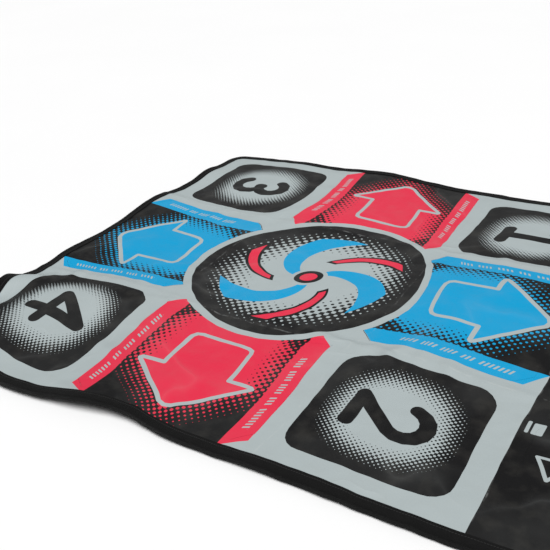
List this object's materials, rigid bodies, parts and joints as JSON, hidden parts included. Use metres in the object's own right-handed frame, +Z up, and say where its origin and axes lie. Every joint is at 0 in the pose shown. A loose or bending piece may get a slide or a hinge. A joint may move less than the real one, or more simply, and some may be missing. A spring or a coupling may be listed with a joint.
{
  "type": "dance mat controller",
  "caption": "Soft foam floor mat with sprung foot switches in a ring round a printed disc, folding in three, with a small control box at its head edge.",
  "frame": {"origin": "centre of the printed disc, on the underside of the mat, at floor level", "axes": "+X is the right of a player who faces the screen, +Y points to the head edge with the control box, +Z is up from the printed side"},
  "size_m": [0.83, 0.9781, 0.0195],
  "materials": {
    "base_sheet": "dotted anti-slip sheet",
    "foam": "closed-cell foam, matte",
    "contact_film": "clear film with carbon tracks",
    "binding": "woven edge tape",
    "cover_print": "soft vinyl with a satin print",
    "blue_print": "soft vinyl with a satin print",
    "pink_print": "soft vinyl with a satin print",
    "black_print": "soft vinyl with a satin print",
    "box_plastic": "fine moulded grain",
    "board": "solder mask",
    "chip": "moulded epoxy",
    "connector": "moulded nylon",
    "gland_rubber": "soft rubber",
    "fastener": "zinc plated"
  },
  "bodies": {
    "middle_panel": {"base_sheet_middle": "base_sheet", "base_foam_middle": "foam", "lower_contact_middle": "contact_film", "frame_foam_middle": "foam", "cover_middle": "cover_print", "binding_foot": "binding", "binding_head": "binding", "box_upper_shell": "box_plastic", "box_lower_shell": "box_plastic", "circuit_board": "board", "controller_chip": "chip", "flat_tail": "contact_film", "tail_connector": "connector", "cable_gland": "gland_rubber", "box_screw_left": "fastener", "box_screw_right": "fastener", "box_rivet_left": "fastener", "box_rivet_right": "fastener", "up_arrow_spacer": "foam", "down_arrow_spacer": "foam"},
    "left_panel": {"base_sheet_left": "base_sheet", "base_foam_left": "foam", "lower_contact_left": "contact_film", "frame_foam_left": "foam", "cover_left": "cover_print", "binding_left": "binding", "left_arrow_spacer": "foam", "one_pad_spacer": "foam", "three_pad_spacer": "foam", "select_pad_spacer": "foam"},
    "right_panel": {"base_sheet_right": "base_sheet", "base_foam_right": "foam", "lower_contact_right": "contact_film", "frame_foam_right": "foam", "cover_right": "cover_print", "binding_right": "binding", "right_arrow_spacer": "foam", "two_pad_spacer": "foam", "four_pad_spacer": "foam", "start_pad_spacer": "foam"},
    "up_arrow_switch": {"up_arrow_skin": "blue_print", "up_arrow_contact": "contact_film"},
    "down_arrow_switch": {"down_arrow_skin": "blue_print", "down_arrow_contact": "contact_film"},
    "left_arrow_switch": {"left_arrow_skin": "pink_print", "left_arrow_contact": "contact_film"},
    "right_arrow_switch": {"right_arrow_skin": "pink_print", "right_arrow_contact": "contact_film"},
    "one_pad_switch": {"one_pad_skin": "black_print", "one_pad_contact": "contact_film"},
    "two_pad_switch": {"two_pad_skin": "black_print", "two_pad_contact": "contact_film"},
    "three_pad_switch": {"three_pad_skin": "black_print", "three_pad_contact": "contact_film"},
    "four_pad_switch": {"four_pad_skin": "black_print", "four_pad_contact": "contact_film"},
    "select_pad_switch": {"select_pad_skin": "black_print", "select_pad_contact": "contact_film"},
    "start_pad_switch": {"start_pad_skin": "black_print", "start_pad_contact": "contact_film"}
  },
  "joints": [
    {"name": "fold_left", "type": "hinge", "parent": "middle_panel", "child": "left_panel", "pos_m": [-0.155, 0, 0.016], "axis": [0, 1, 0], "range_deg": [0, 180]},
    {"name": "fold_right", "type": "hinge", "parent": "middle_panel", "child": "right_panel", "pos_m": [0.155, 0, 0.024], "axis": [0, -1, 0], "range_deg": [0, 180]},
    {"name": "press_up_arrow", "type": "slide", "parent": "middle_panel", "child": "up_arrow_switch", "axis": [0, 0, -1], "range_m": [0, 0.0012], "stiffness_N_per_m": 6000, "deforming": ["up_arrow_spacer"]},
    {"name": "press_down_arrow", "type": "slide", "parent": "middle_panel", "child": "down_arrow_switch", "axis": [0, 0, -1], "range_m": [0, 0.0012], "stiffness_N_per_m": 6000, "deforming": ["down_arrow_spacer"]},
    {"name": "press_left_arrow", "type": "slide", "parent": "left_panel", "child": "left_arrow_switch", "axis": [0, 0, -1], "range_m": [0, 0.0012], "stiffness_N_per_m": 6000, "deforming": ["left_arrow_spacer"]},
    {"name": "press_right_arrow", "type": "slide", "parent": "right_panel", "child": "right_arrow_switch", "axis": [0, 0, -1], "range_m": [0, 0.0012], "stiffness_N_per_m": 6000, "deforming": ["right_arrow_spacer"]},
    {"name": "press_one_pad", "type": "slide", "parent": "left_panel", "child": "one_pad_switch", "axis": [0, 0, -1], "range_m": [0, 0.0012], "stiffness_N_per_m": 6000, "deforming": ["one_pad_spacer"]},
    {"name": "press_two_pad", "type": "slide", "parent": "right_panel", "child": "two_pad_switch", "axis": [0, 0, -1], "range_m": [0, 0.0012], "stiffness_N_per_m": 6000, "deforming": ["two_pad_spacer"]},
    {"name": "press_three_pad", "type": "slide", "parent": "left_panel", "child": "three_pad_switch", "axis": [0, 0, -1], "range_m": [0, 0.0012], "stiffness_N_per_m": 6000, "deforming": ["three_pad_spacer"]},
    {"name": "press_four_pad", "type": "slide", "parent": "right_panel", "child": "four_pad_switch", "axis": [0, 0, -1], "range_m": [0, 0.0012], "stiffness_N_per_m": 6000, "deforming": ["four_pad_spacer"]},
    {"name": "press_select_pad", "type": "slide", "parent": "left_panel", "child": "select_pad_switch", "axis": [0, 0, -1], "range_m": [0, 0.0012], "stiffness_N_per_m": 2000, "deforming": ["select_pad_spacer"]},
    {"name": "press_start_pad", "type": "slide", "parent": "right_panel", "child": "start_pad_switch", "axis": [0, 0, -1], "range_m": [0, 0.0012], "stiffness_N_per_m": 2000, "deforming": ["start_pad_spacer"]}
  ]
}
